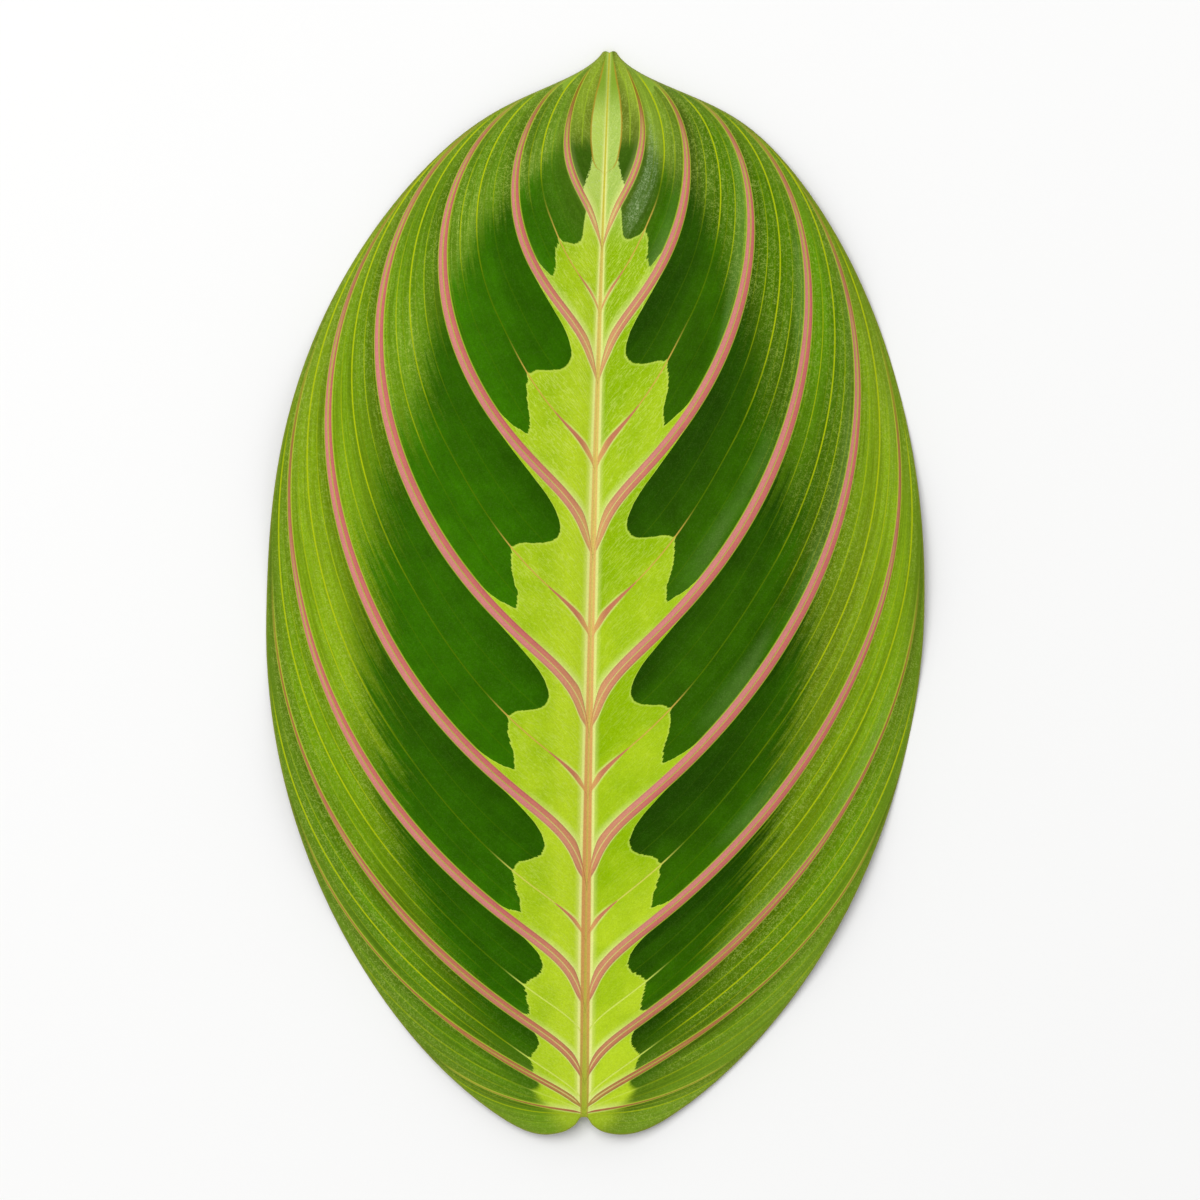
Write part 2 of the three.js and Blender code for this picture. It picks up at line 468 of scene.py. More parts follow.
class Sheet:  # lays out the nodes of one material
    def __init__(self, name):
        self.material = bpy.data.materials.new(name)
        self.material.use_nodes = True
        self.tree = self.material.node_tree
        self.shader = self.tree.nodes["Principled BSDF"]

    def add(self, kind, **settings):
        node = self.tree.nodes.new(kind)
        for name, value in settings.items():
            setattr(node, name, value)
        return node

    def plug(self, value, socket):
        if isinstance(value, Wire):
            self.tree.links.new(value.socket, socket)
        elif isinstance(value, tuple):  # a colour
            socket.default_value = tone(*value)[: len(socket.default_value)]
        else:
            socket.default_value = value

    def maths(self, operation, *values):
        node = self.add("ShaderNodeMath", operation=operation)
        for value, socket in zip(values, node.inputs):
            self.plug(value, socket)
        return Wire(self, node.outputs[0])

    def attribute(self, name):
        return Wire(self, self.add("ShaderNodeAttribute", attribute_name=name).outputs["Fac"])

    # 0 below low, 1 above high and smooth between
    def step(self, low, high, value):
        node = self.add("ShaderNodeMapRange", interpolation_type="SMOOTHSTEP")
        for given, name in ((value, "Value"), (low, "From Min"), (high, "From Max")):
            self.plug(given, node.inputs[name])
        return Wire(self, node.outputs["Result"])

    # 1 below low and 0 above high
    def fall(self, low, high, value):
        return 1 - self.step(low, high, value)

    # 1 from one range of values to another, and 0 outside both
    def band(self, value, start, end):
        return self.step(*start, value) * self.fall(*end, value)

    # a hump of this half width round zero, with soft flanks
    def hump(self, value, halfWidth, soft):
        return self.fall(halfWidth - soft, halfWidth + soft, self.maths("ABSOLUTE", value))

    # a curve through (value, result) points
    def curve(self, value, points):
        first, last = points[0][0], points[-1][0]
        top = max(max(y for _, y in points), 1e-6)
        node = self.add("ShaderNodeFloatCurve")
        knots = node.mapping.curves[0].points
        spots = [((x - first) / (last - first), y / top) for x, y in points]
        knots[0].location, knots[-1].location = spots[0], spots[-1]
        for spot in spots[1:-1]:
            knots.new(*spot)
        for knot in knots:
            knot.handle_type = "AUTO_CLAMPED"
        node.mapping.extend = "HORIZONTAL"
        node.mapping.update()
        self.plug((value - first) / (last - first), node.inputs["Value"])
        return Wire(self, node.outputs["Value"]) * top

    def noise(self, place, scale, detail=2.0, roughness=0.5, distortion=0.0):
        node = self.add("ShaderNodeTexNoise")
        node.inputs["Distortion"].default_value = distortion
        self.plug(place, node.inputs["Vector"])
        node.inputs["Scale"].default_value = scale
        node.inputs["Detail"].default_value = detail
        node.inputs["Roughness"].default_value = roughness
        return Wire(self, node.outputs["Fac"])

    # fine hairs: the level lines of a noise, broken up by a coarser one
    def wisps(self, place, scale, width):
        level = self.maths("ABSOLUTE", self.noise(place, scale, 1.0) - 0.5)
        gaps = self.noise(place, scale * 0.6, 1.0)
        return self.fall(width * 0.3, width, level) * self.step(0.36, 0.52, gaps)

    def vector(self, x, y, z):
        node = self.add("ShaderNodeCombineXYZ")
        for value, socket in zip((x, y, z), node.inputs):
            self.plug(value, socket)
        return Wire(self, node.outputs["Vector"])

    def blend(self, factor, low, high):
        node = self.add("ShaderNodeMix", data_type="RGBA")  # its colours are 6, 7 and 2
        for value, socket in ((factor, 0), (low, 6), (high, 7)):
            self.plug(value, node.inputs[socket])
        return Wire(self, node.outputs[2])

    def scale(self, colour, factor):
        node = self.add("ShaderNodeVectorMath", operation="SCALE")
        self.plug(colour, node.inputs[0])
        self.plug(factor, node.inputs["Scale"])
        return Wire(self, node.outputs[0])

    # colours by a value from 0 to 1
    def ramp(self, value, stops):
        node = self.add("ShaderNodeValToRGB")
        knots = node.color_ramp.elements
        while len(knots) < len(stops):
            knots.new(0.5)
        for knot, (at, shade) in zip(knots, stops):
            knot.position, knot.color = at, tone(*shade)
        self.plug(value, node.inputs["Fac"])
        return Wire(self, node.outputs["Color"])

    def objectPlace(self):
        return Wire(self, self.add("ShaderNodeTexCoord").outputs["Object"])

    def part(self, vector, axis):
        node = self.add("ShaderNodeSeparateXYZ")
        self.plug(vector, node.inputs[0])
        return Wire(self, node.outputs[axis])

    def bump(self, height, distance):
        node = self.add("ShaderNodeBump")
        node.inputs["Distance"].default_value = distance
        self.plug(height, node.inputs["Height"])
        return Wire(self, node.outputs["Normal"])


# A texture as a factor round 1, off by up to half of amount.
def uneven(texture, amount):
    return texture * amount + (1 - amount / 2)


# A value that differs between the leaf's two halves.
def byHalf(at, left, right):
    return at.isLeft * (left - right) + right


# Textures that run with the veins: how fast they change from vein to vein and
# along one, then their detail and roughness.
veinTextures = {
    "broad": (3.0, 0.06, 2.0, 0.5),
    "strands": (26.0, 0.13, 3.0, 0.6),
    "hairs": (80.0, 0.9, 2.0, 0.6),
    "teeth": (60.0, 0.5, 2.0, 0.7),
}
bladeTextures = {  # textures that don't: scale, detail, roughness, distortion
    "grain": (5200.0, 2.0, 0.6, 0.0),
    "fuzz": (2600.0, 3.0, 0.75, 1.6),
    "cloud": (300.0, 3.0, 0.5, 0.0),
}
# The velvet hairs as textures; their whitish sheen is painted into the colour.
velvetHairs = {
    "flecks": (0.54, 0.66),  # where fuzz is stronger than this
    "wisps": (3500.0, 0.065),  # scale and width
    "strokes": (56.0, 1.1),  # scale from vein to vein and along one
    "strokeWidth": 0.06,
}


def veinTexture(s, phase, along, lean, kind):
    across, down, *grain = kind
    return s.noise(s.vector(phase * across, along * down, lean), 1.0, *grain)


# Everything on the upper face is drawn in the veins' own measures: the phase
# between two veins, the distance along them, and millimetres from the midrib.
# They are kept in at, and s is the sheet of the material.
def leafMeasures(s):
    at = types.SimpleNamespace()
    at.phase, at.gap = s.attribute("veinPhase"), s.attribute("veinGap")
    at.rib, at.along = s.attribute("ribDistance"), s.attribute("alongVein")
    at.share, at.edge = s.attribute("veinShare"), s.attribute("edgeDistance")
    at.half = s.attribute("leafHalf")  # -1 on the left and 1 on the right
    at.isLeft = s.step(-0.1, 0.1, 0 - at.half)
    at.panel = s.maths("FLOOR", at.phase)
    at.number = s.maths("ROUND", at.phase)  # of the nearest main vein
    at.p = at.phase - at.panel  # share of the way from one main vein to the next
    spot = s.objectPlace()
    at.y = s.part(spot, "Y") / mm
    at.offset = (at.phase - at.number) * at.gap  # millimetres from that vein
    at.inTip = s.fall(0.96, 1.0, at.phase)

    lean = at.half * 7.3  # so that the two halves differ
    for name, kind in veinTextures.items():
        setattr(at, name, veinTexture(s, at.phase, at.along, lean, kind))
    for name, kind in bladeTextures.items():
        setattr(at, name, s.noise(spot, *kind))
    at.blotch = veinTexture(s, at.phase, at.along, lean + 3.0, (2.1, 0.055, 1.0))
    at.flecks = s.step(*velvetHairs["flecks"], at.fuzz)
    at.wisps = s.wisps(spot, *velvetHairs["wisps"])
    across, down = velvetHairs["strokes"]
    place = s.vector(at.phase * across, at.along * down, lean)
    at.strokes = s.wisps(place, 1.0, velvetHairs["strokeWidth"])
    return at


outerBlade = {
    "left": [(0.0, (156, 176, 50)), (0.13, (96, 130, 30)), (0.17, (84, 120, 20)),
             (0.25, (88, 126, 18)), (0.35, (90, 128, 12)), (0.45, (99, 133, 12)),
             (0.55, (118, 149, 16)), (0.65, (100, 137, 8)), (0.75, (80, 119, 10)),
             (0.85, (80, 119, 14)), (1.0, (106, 145, 28))],  # by the way from tip to base
    "right": [(0.0, (156, 176, 54)), (0.13, (124, 152, 44)), (0.25, (66, 103, 4)),
              (0.35, (74, 113, 4)), (0.45, (76, 116, 8)), (0.55, (120, 150, 20)),
              (0.65, (116, 152, 14)), (0.75, (94, 135, 10)), (0.85, (103, 140, 24)),
              (1.0, (112, 148, 32))],
    "across": [(0, 0.62), (0.1, 0.68), (0.22, 0.84), (0.36, 1.04), (0.5, 0.98), (0.64, 1.12),
               (0.8, 1.02), (0.92, 1.04), (1, 0.86)],
    "leftAlong": [(0, 0.8), (0.3, 0.86), (0.44, 1.08), (0.56, 1.04), (0.7, 0.95), (0.85, 0.92),
                  (1, 1.0)],
    "rightAlong": [(0, 0.64), (0.36, 0.66), (0.48, 0.82), (0.6, 1.0), (0.75, 1.05),
                   (0.88, 1.0), (1, 1.0)],
    "leftTilt": [(0, 1.0), (1, 0.4), (2, 0.72), (3, 1.1), (4, 1.26), (5, 1.0), (6, 0.72),
                 (7, 1.0), (8, 0.7), (9, 1.0), (10, 1.0)],  # over 1 is lighter towards the base
    "rightTilt": [(0, 1.0), (1, 0.35), (2, 1.8), (3, 0.85), (4, 0.2), (5, 1.3), (6, 1.26),
                  (7, 0.9), (8, 1.0), (9, 1.0), (10, 1.0)],
    "tiltEnd": (0.8, 1.0),  # by share of each line's length
    # a painted highlight on the right half
    "litPhases": ((3.7, 4.1), (6.4, 7.0)),  # right half, lighter just below each vein
    "litPart": (0.15, 0.42),
    "litGain": 0.55,
    "latePhases": ((3.8, 4.6), (7.0, 8.0)),  # darker near the margin
    "lateStart": (0.7, 0.85),
    "lateLoss": (0.14, 0.26),  # left and right
    "tipStart": (0.35, 0.7),  # the tip is darker near the midrib
    "tipLoss": 0.3,
    "margin": (112, 138, 36),
    "marginWidth": (0.5, 4.0),  # mm
    # the velvet hairs' painted sheen
    "velvetSheen": (176, 194, 92),
}


# The mid green outside, in light and dark strands, under velvet hairs painted as whitish sheen.
def outerTone(s, at):
    look = outerBlade
    turn = at.phase / lastPhase
    blade = s.blend(at.isLeft, s.ramp(turn, look["right"]), s.ramp(turn, look["left"]))
    along = byHalf(at, s.curve(at.share, look["leftAlong"]), s.curve(at.share, look["rightAlong"]))
    light = s.curve(at.p, look["across"]) * along
    light = light * uneven(at.strands, 0.92) * uneven(at.blotch, 0.4) * uneven(at.hairs, 0.28)
    # painted highlight just below each vein on the right half
    lit = s.band(at.phase, *look["litPhases"]) * s.fall(*look["litPart"], at.p)
    light = light * (1 + lit * (1 - at.isLeft) * look["litGain"])
    tilt = byHalf(at, s.curve(at.panel, look["leftTilt"]), s.curve(at.panel, look["rightTilt"]))
    light = light * (1 + (at.p - 0.5) * (tilt - 1) * s.fall(*look["tiltEnd"], at.share))
    late = s.band(at.phase, *look["latePhases"]) * s.step(*look["lateStart"], at.share)
    light = light * (1 - late * byHalf(at, *look["lateLoss"]))
    light = light * (1 - at.inTip * s.fall(*look["tipStart"], at.share) * look["tipLoss"])
    blade = s.scale(blade, light * uneven(at.fuzz, 0.8))
    nearMargin = s.fall(*look["marginWidth"], at.edge)
    blade = s.blend(nearMargin * 0.35, blade, look["margin"])
    # velvet hairs, their whitish sheen painted in flecks and wisps
    velvetSheen = s.step(0.3, 0.62, at.blotch * 0.6 + at.strands * 0.4)
    velvetSheen = velvetSheen * (at.flecks * 0.1 + at.wisps * 0.36)
    return s.blend(velvetSheen, blade, look["velvetSheen"])


# Share of each line's length where the dark green ends, and how dark it is.
darkZone = {
    "end": [(0, 0.0), (0.9, 0.0), (1.05, 0.42), (1.25, 0.45), (1.75, 0.45), (2.25, 0.48),
            (2.75, 0.43), (3.25, 0.4), (3.75, 0.35), (4.25, 0.35), (4.75, 0.33), (5.25, 0.32),
            (5.75, 0.3), (6.25, 0.29), (6.75, 0.25), (7.25, 0.24), (7.7, 0.24), (8.3, 0.34),
            (8.7, 0.3), (9.2, 0.0), (10, 0.0)],
    "depth": [(0, 0.0), (0.9, 0.0), (1.1, 0.6), (1.5, 0.75), (2, 1.0), (6.7, 1.0), (7.2, 0.9),
              (7.6, 0.5), (7.9, 0.3), (8.2, 0.5), (8.6, 0.3), (9, 0.0), (10, 0.0)],
    "right": (22, 58, 0),
    "rightLight": (51, 100, 0),
    "left": (38, 84, 0),
    "leftLight": (51, 109, 0),
    "faded": (62, 102, 14),
    # the velvet hairs' painted sheen on the dark green
    "velvetSheen": (104, 140, 62),
    "ragged": {"strands": 0.24, "broad": 0.08, "hairs": 0.06},  # how far each moves the end
    "soft": (-0.05, 0.09),
    "paleReach": ((-0.02, 0.03), (0.05, 0.22)),  # pale patches just past the end
    "palePart": ((0.3, 0.6), (0.9, 0.98)),
    "paleEnd": (3.4, 4.8),
    "lowStart": (4.2, 5.2),  # the left half's lower panels are darker
    "lowLoss": 0.18,
    "tipPatch": (46, 84, 8),
    "tipPatchTop": 52.0,  # mm up the leaf
    "tipPatchFoot": (38, 42),
}


def darkPanels(s, at, blade):
    zone = darkZone
    at.beyond = at.share - s.curve(at.phase, zone["end"])
    for texture, amount in zone["ragged"].items():
        at.beyond = at.beyond - (getattr(at, texture) - 0.5) * amount

    # pale velvet patches where the dark green gives way: the hairs' sheen painted whitish,
    # stronger on the left half
    velvetSheen = s.band(at.beyond, *zone["paleReach"]) * s.band(at.p, *zone["palePart"])
    velvetSheen = velvetSheen * s.fall(*zone["paleEnd"], at.phase) * byHalf(at, 1.0, 0.3)
    velvetSheen = velvetSheen * s.step(0.42, 0.7, at.strands)
    velvetSheen = velvetSheen * (0.25 + at.flecks * 0.25 + at.wisps * 0.35)
    blade = s.blend(velvetSheen, blade, outerBlade["velvetSheen"])

    dark = s.blend(at.isLeft, zone["right"], zone["left"])
    light = s.blend(at.isLeft, zone["rightLight"], zone["leftLight"])
    dark = s.blend(at.p * 1.1 - 0.1 + (at.broad - 0.5) * 1.2, dark, light)
    dark = s.scale(dark, uneven(at.cloud, 0.8) * uneven(at.strands, 0.36))
    low = at.isLeft * s.step(*zone["lowStart"], at.phase)
    dark = s.scale(dark, uneven(at.fuzz, 0.8) * (1 - low * zone["lowLoss"]))
    # faint wisps of painted velvet sheen
    dark = s.blend(at.wisps * (0.03 + at.blotch * 0.06), dark, zone["velvetSheen"])
    depth = s.curve(at.phase, zone["depth"])
    dark = s.blend(s.step(0.2, 0.9, depth), zone["faded"], dark)
    inDark = s.fall(*zone["soft"], at.beyond) * s.step(0, 0.25, depth)
    blade = s.blend(inDark * (0.35 + depth * 0.65), blade, dark)

    # two small patches beside the tip's pale strip
    top = zone["tipPatchTop"] + (at.strands - 0.5) * 2.5 + (at.fuzz - 0.5) * 2.0
    patch = at.inTip * s.fall(top - 1.2, top + 1.2, at.y) * s.step(*zone["tipPatchFoot"], at.y)
    return s.blend(patch * 0.9, blade, s.scale(zone["tipPatch"], uneven(at.fuzz, 1.0)))


# How far the lime middle reaches from the midrib: least at inner and most at
# bulge, with a lobe between each two veins.
limeZone = {
    "inner": [(0, 3.0), (0.5, 1.6), (1.2, 2.2), (2.2, 3.1), (3.2, 3.8), (4.2, 4.7),
              (5.2, 4.9), (6.2, 4.9), (7.2, 5.3), (8.2, 5.2), (9.0, 4.0), (9.5, 3.4), (10, 2.0)],
    "bulge": [(0, 3.0), (0.65, 1.6), (1.65, 5.2), (2.65, 8.1), (3.65, 9.35), (4.65, 9.3),
              (5.65, 8.3), (6.65, 6.8), (7.65, 6.1), (8.65, 5.4), (9.1, 4.0), (9.5, 3.4),
              (10, 2.0)],
    "lobe": [(0, 2.5), (0.04, 1.6), (0.08, 0.6), (0.12, 0.2), (0.16, 0.06), (0.21, 0.0),
             (0.26, 0.04), (0.32, 0.17), (0.4, 0.47), (0.5, 0.87), (0.54, 0.95),
             (0.62, 1.0), (0.7, 0.95), (0.78, 0.84), (0.84, 0.84), (0.88, 1.05),
             (0.92, 1.45), (0.96, 2.3), (1, 3.0)],
    "soft": [(0, 0.06), (7.9, 0.06), (8.2, 0.25), (8.8, 1.0), (9.3, 1.6), (10, 1.6)],
    "strength": [(0, 1.0), (8.6, 1.0), (9.2, 0.62), (10, 0.5)],
    "lower": [(0, 0.0), (1, 0.03), (2, 0.03), (3, 0.015), (4, 0.0), (10, 0.0)],
    "tip": [(36, 3.4), (44, 3.3), (46.5, 2.4), (48.5, 1.8), (50, 1.5), (53.4, 1.75),
            (56.4, 1.5), (59.2, 0.95), (61, 0.6), (62.5, 0.3)],  # by mm up the leaf
    "spike": 0.5,  # mm along the vein half way
    "teeth": 0.12,  # mm, and more below each lobe and towards the base
    "teethMore": 0.2,
    "teethPart": (0.5, 0.65),
    "teethPhases": (4.5, 6.5),
    "lightPart": (0.32, 0.7),  # the right half is lighter towards the next vein
    "lightPhases": (4.8, 6.6),  # and towards the base
    "baseLight": (6.9, 7.3),  # lighter again from here
    "leftLight": (1.5, 6.0),  # the left half is lighter near the midrib
    "tipDark": (1.6, 3.0),  # and both are deeper towards the tip
    "deep": (138, 176, 2),
    "light": (179, 206, 36),
    # the velvet hairs' painted sheen on the lime
    "velvetSheen": (204, 220, 104),
    "rim": (206, 222, 110),
    "rimEnd": (7.0, 8.0),
    "tipPale": (184, 204, 118),
    "tipPaleStart": (39, 47),
    "tipGreen": (128, 160, 46),
    "tipGreenStart": (54, 59),
}


def limeReach(s, at):
    zone = limeZone
    inner, bulge = s.curve(at.phase, zone["inner"]), s.curve(at.phase, zone["bulge"])
    lower = s.curve(at.panel, zone["lower"]) * s.step(0.1, 0.5, at.p)
    reach = inner + (bulge - inner) * s.curve(at.p - lower, zone["lobe"])
    spike = s.hump(at.fromVein, 0.1, 0.3) * zone["spike"]
    more = s.step(*zone["teethPart"], at.p) + s.step(*zone["teethPhases"], at.phase)
    ragged = zone["teeth"] + more * zone["teethMore"]
    reach = reach + spike + (at.teeth - 0.5) * 2 * ragged
    tipReach = s.curve(at.y, zone["tip"]) + (at.fuzz - 0.5) * 0.9 * s.fall(50, 51, at.y)
    return reach + (tipReach - reach) * at.inTip


def limeMiddle(s, at, blade):
    zone = limeZone
    at.within = limeReach(s, at) - at.rib
    soft = s.curve(at.phase, zone["soft"])
    at.inLime = s.step(0 - soft, soft, at.within) * s.curve(at.phase, zone["strength"])

    right = s.step(*zone["lightPart"], at.p) * 0.5 + s.step(*zone["lightPhases"], at.phase) * 0.4
    left = 1.15 - s.step(*zone["leftLight"], at.rib) * 0.6
    light = byHalf(at, left, right) + (at.cloud - 0.5) * 1.1
    light = light - s.fall(*zone["tipDark"], at.phase) * 0.45
    light = light + s.step(*zone["baseLight"], at.phase) * (1 - at.isLeft) * 0.5
    lime = s.blend(light, zone["deep"], zone["light"])
    lime = s.scale(lime, uneven(at.fuzz, 0.4))
    # velvet hairs painted as whitish sheen, most towards the tip and more on the left half
    fuzzySheen = 1 - s.step(1.5, 5.0, at.phase) * byHalf(at, 0.45, 0.75)
    fuzzySheen = fuzzySheen * (at.flecks * 0.12 + at.strokes * 0.42 + at.wisps * 0.14)
    lime = s.blend(fuzzySheen, lime, zone["velvetSheen"])
    rim = s.hump(at.within - 0.1, 0.06, 0.12) * s.fall(*zone["rimEnd"], at.phase)
    lime = s.blend(rim * 0.45, lime, zone["rim"])
    pale = s.step(*zone["tipPaleStart"], at.y) * (0.5 + at.flecks * 0.5)
    lime = s.blend(pale, lime, zone["tipPale"])
    lime = s.blend(s.step(*zone["tipGreenStart"], at.y), lime, zone["tipGreen"])
    return s.blend(at.inLime, blade, lime)


# The vein half way between two main ones, and the finer lines beside it.
sideVeins = {
    "lean": [(0, 0.05), (1, 0.05), (2, 0.04), (3, 0.0), (4, -0.03), (5, -0.01), (6, -0.03),
             (7, 0.04), (8, 0.05), (9, 0.0), (10, 0.0)],
    "rootLean": 0.09,  # more lean near the midrib
    "rootLeanEnd": (0.05, 0.28),
    "tick": [(0, 0.5), (1, 2.6), (2, 5.0), (3, 5.2), (4, 4.7), (5, 3.7), (6, 0.5),
             (10, 0.5)],  # how far each pink tick reaches from the midrib
    "tickWidth": [(0, 0.1), (1, 0.18), (2, 0.4), (3, 0.4), (4, 0.36), (5, 0.28), (10, 0.2)],
    "fine": [(-0.22, 0.05, 0.75), (0.22, 0.055, 0.85), (-0.36, 0.03, 0.3), (-0.09, 0.03, 0.2),
             (0.11, 0.03, 0.25), (0.37, 0.035, 0.35)],  # place beside it, width, strength
    "halfWidth": 0.08,
    "phases": ((0.98, 1.1), (8.9, 9.3)),
    "end": (0.86, 0.97),  # by share of its length
    "finePhases": ((0.98, 1.1), (9.55, 9.75)),
    "fineEnd": (0.8, 0.95),
    "tickEnd": (5.95, 6.05),  # no ticks past this phase
    "tickFootReach": (0.4, 1.9),
    "bright": (172, 188, 14),
    "faint": (88, 118, 4),  # where the blade is dark green
    "warm": (200, 166, 74),
    "pale": (204, 220, 96),  # in place of warm towards the base
    "paleStart": (5.0, 6.0),
    "tickTone": (190, 112, 88),
    "tickFoot": (212, 160, 98),  # where it meets the midrib
    "glow": (216, 226, 132),
}


# Millimetres from the vein half way, which leans a little to one side.
def fromSideVein(s, at):
    lean = s.curve(at.panel, sideVeins["lean"])
    lean = lean + s.fall(*sideVeins["rootLeanEnd"], at.share) * sideVeins["rootLean"]
    return (at.p - 0.5 - lean) * at.gap


def sideVeinLines(s, at, blade):
    look = sideVeins
    clear = s.step(-0.1, 0.12, at.beyond)
    lineTone = s.blend(clear, look["faint"], look["bright"])
    fine = 0
    for beside, width, strength in look["fine"]:
        fine = s.hump(at.fromVein - at.gap * beside, width, 0.05) * strength + fine
    fine = fine * (1 - at.inLime) * s.band(at.phase, *look["finePhases"])
    fine = fine * s.step(0.3, 0.6, at.broad + 0.15) * (0.3 + clear * 0.7)
    roomy = s.maths("MAXIMUM", s.step(2.0, 8.0, at.gap), s.step(8.95, 9.05, at.phase))
    at.fine = fine * s.fall(*look["fineEnd"], at.share) * roomy
    blade = s.blend(at.fine, blade, lineTone)

    at.sideEnds = s.band(at.phase, *look["phases"]) * s.fall(*look["end"], at.share)
    at.side = s.hump(at.fromVein, look["halfWidth"], 0.05) * at.sideEnds
    at.side = at.side * (1 - s.step(8.0, 8.2, at.phase) * 0.6)
    warm = s.step(-3.0, 0.3, at.within) * s.fall(0.28, 0.4, at.share)
    turn = s.step(*look["paleStart"], at.phase)
    inLimeTone = s.blend(turn, look["warm"], look["pale"])
    strength = at.side * (0.55 + s.maths("MAXIMUM", clear, warm) * 0.4)
    return s.blend(strength, blade, s.blend(warm, lineTone, inLimeTone))


# Short pink ticks that leave the midrib along the side veins and taper off.
def pinkTicks(s, at, blade):
    look = sideVeins
    ends = at.sideEnds * s.fall(*look["tickEnd"], at.phase)
    left = 1 - (at.rib - 0.4) / (s.curve(at.panel, look["tick"]) - 0.4)
    left = s.maths("MAXIMUM", s.maths("MINIMUM", left, 1.0), 0.0)
    width = left * s.curve(at.panel, look["tickWidth"]) * byHalf(at, 0.8, 0.95) + 0.04
    width = width * (0.5 + s.step(0.3, 1.3, at.rib) * 0.5)
    glow = s.hump(at.fromVein, width + 0.16, 0.13) * s.step(0.1, 0.6, left) * ends
    blade = s.blend(glow * 0.7, blade, look["glow"])
    away = s.step(*look["tickFootReach"], at.rib)
    tickTone = s.blend(away, look["tickFoot"], look["tickTone"])
    tick = s.hump(at.fromVein, width, 0.05) * s.step(0.0, 0.08, left) * ends
    return s.blend(tick * 0.95, blade, tickTone)


# Midrib bands in millimetres from its line, by millimetres up the leaf.
midribLook = {
    "stripe": [(-62, 0.34), (-59.5, 0.44), (-56, 0.53), (-50, 0.52), (-40, 0.54), (-30, 0.5),
               (-20, 0.44), (-8, 0.38), (5, 0.34), (15, 0.29), (25, 0.24), (35, 0.19),
               (42, 0.14), (50, 0.1), (62, 0.08)],
    "cream": [(-62, 0.2), (-57, 0.34), (-50, 0.4), (0, 0.4), (25, 0.34), (40, 0.22), (62, 0.18)],
    "centre": [(-62, 0.3), (-57, 0.26), (-50, 0.19), (-40, 0.13), (-25, 0.1), (0, 0.08),
               (25, 0.06), (62, 0.01)],
    "tones": [(0.0, (158, 150, 46)), (0.05, (176, 148, 62)), (0.12, (196, 146, 78)),
              (0.2, (202, 144, 86)), (0.3, (208, 150, 90)), (0.38, (214, 164, 96)),
              (0.48, (220, 178, 104)), (0.7, (218, 188, 102)), (0.8, (206, 184, 88)),
              (0.88, (196, 186, 54)), (1.0, (180, 176, 40))],  # by the way from base to tip
    "centreTones": [(0.0, (150, 174, 40)), (0.1, (178, 178, 66)), (0.2, (192, 170, 80)),
                    (0.5, (214, 197, 102)), (0.8, (206, 190, 90)), (0.88, (196, 188, 54)),
                    (1.0, (180, 176, 40))],
    "creamTone": (230, 232, 146),
    "creamStart": (-60.5, -57),
    "creamEnd": (46, 58),
    "glow": (0.48, 0.38),  # its strength on the left and on the right
}


def midribBorder(s, at, blade):
    look = midribLook
    width = s.curve(at.y, look["stripe"])
    band = s.curve(at.y, look["cream"])
    bright = s.fall(width + band * 0.5, width + band, at.rib)
    glow = s.fall(width + band * 0.4, width + band * 2.3, at.rib)
    strength = 1 - s.step(*look["creamEnd"], at.y) * 0.75
    strength = strength * s.step(*look["creamStart"], at.y)
    cream = look["creamTone"]
    blade = s.blend(glow * byHalf(at, *look["glow"]) * strength, blade, cream)
    return s.blend(bright * 0.78 * strength, blade, cream)


def midribStripes(s, at, blade):
    look = midribLook
    up = at.y / (2 * outline["halfLength"]) + 0.5
    width = s.curve(at.y, look["stripe"])
    stripe = s.scale(s.ramp(up, look["tones"]), uneven(at.fuzz, 0.3))
    blade = s.blend(s.fall(width - 0.08, width + 0.08, at.rib) * 0.95, blade, stripe)
    width = s.curve(at.y, look["centre"])
    centre = s.fall(width - 0.04, width + 0.06, at.rib)
    return s.blend(centre * 0.9, blade, s.ramp(up, look["centreTones"]))


# Half width in millimetres of each main vein's pair of stripes, and the shares
# of its length where the pair has become one thin line and where that fades
# out, by vein number.
mainVeins = {
    "width": [(0, 0.0), (1, 0.36), (2, 0.5), (3, 0.6), (4, 0.65), (5, 0.63), (6, 0.57),
              (7, 0.48), (8, 0.34), (9, 0.11), (10, 0.0)],
    "line": [(0, 0.1), (1, 0.11), (2, 0.07), (9, 0.065), (10, 0.05)],  # centre line
    "narrow": [(0, 0.9), (1, 0.92), (2, 0.97), (3, 0.99), (4, 0.96), (5, 0.92), (6, 0.84),
               (7, 0.76), (8, 0.62), (9, 0.7), (10, 0.7)],
    "fade": [(0, 0.9), (1, 0.94), (2, 0.98), (3, 1.0), (4, 0.98), (5, 0.96), (6, 0.94),
             (7, 0.93), (8, 0.93), (9, 0.85), (10, 0.8)],
    "numbers": ((0.5, 0.9), (9.1, 9.5)),
    "nearRib": ((0.5, 9.0), (0.25, 0.5)),  # by distance from the midrib and by share
    "pink": (201, 123, 120),
    # darker, the painted shade on each pair's right-hand stripe
    "red": (188, 98, 95),
    "tan": (198, 140, 98),
    "joined": (214, 168, 106),  # where it meets the midrib
    "joinedReach": (0.4, 2.6),
    "joinedStart": (-36, 0),  # mm up the leaf
    "lowJoined": (170, 142, 66),  # the same for the lowest long pair
    "lowJoinedReach": (0.5, 5.0),
    "lowNumbers": ((7.4, 7.8), (8.2, 8.6)),
    "brown": (142, 112, 38),
    "baseBrown": (170, 110, 68),
    "baseNumbers": (5.5, 8.5),
    "centre": (176, 170, 72),
    "centreNear": (214, 198, 122),
    "glow": (218, 228, 136),
    "halo": (180, 194, 54),
}


